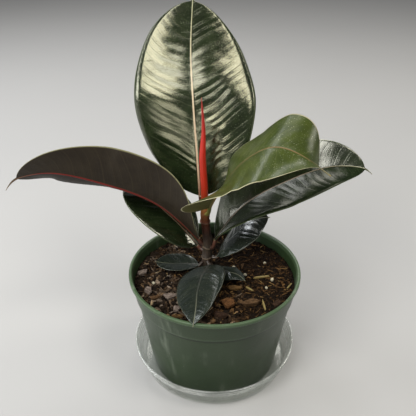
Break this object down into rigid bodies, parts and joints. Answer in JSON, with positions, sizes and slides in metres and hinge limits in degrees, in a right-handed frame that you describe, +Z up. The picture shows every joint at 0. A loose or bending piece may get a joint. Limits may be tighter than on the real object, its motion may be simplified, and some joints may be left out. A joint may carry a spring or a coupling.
{
  "type": "potted rubber plant",
  "caption": "Young rubber plant with glossy dark leaves, a light green new leaf and a red leaf sheath, in a green nursery pot standing in a clear saucer.",
  "frame": {"origin": "centre of the saucer's flat underside, where the plant stands", "axes": "+Z up along the pot's axis, -Y toward the front, where the small front leaf hangs over the rim, -X toward the longest side leaf"},
  "size_m": [0.3282, 0.1762, 0.3169],
  "materials": {
    "clear_plastic": "clear, thin, lightly scuffed",
    "pot_plastic": "mid green nursery plastic, satin, scuffed, with a slightly lighter lip",
    "potting_mix": "damp dark brown bark and peat mix",
    "stem_bark": "greenish brown young bark with pale leaf scars",
    "sheath": "smooth waxy bright red",
    "leaf_mature": "thick, waxy, glossy dark green above and dull burgundy brown below, with a pale midrib",
    "leaf_young": "softer light green with a thin cream margin and a reddish midrib",
    "bark": "rough reddish brown bark",
    "fibre": "dry straw-coloured wood fibre",
    "perlite": "white, porous, dull"
  },
  "bodies": {
    "root": {"saucer": "clear_plastic", "pot": "pot_plastic", "soil": "potting_mix", "stem": "stem_bark", "leaf_sheath": "sheath", "leaf_upright": "leaf_mature", "leaf_left": "leaf_mature", "leaf_lower_left": "leaf_mature", "leaf_young": "leaf_young", "leaf_right": "leaf_mature", "leaf_lower_right": "leaf_mature", "leaf_front": "leaf_mature", "leaf_low_left": "leaf_mature", "leaf_low_right": "leaf_mature", "bark_chip_01": "bark", "bark_chip_02": "bark", "bark_chip_03": "bark", "bark_chip_04": "bark", "bark_chip_05": "bark", "bark_chip_06": "bark", "bark_chip_07": "bark", "bark_chip_08": "bark", "bark_chip_09": "bark", "bark_chip_10": "bark", "bark_chip_11": "bark", "bark_chip_12": "bark", "wood_fibre_01": "fibre", "wood_fibre_02": "fibre", "wood_fibre_03": "fibre", "wood_fibre_04": "fibre", "perlite_grain_01": "perlite", "perlite_grain_02": "perlite", "perlite_grain_03": "perlite", "perlite_grain_04": "perlite", "perlite_grain_05": "perlite", "perlite_grain_06": "perlite"}
  },
  "joints": []
}
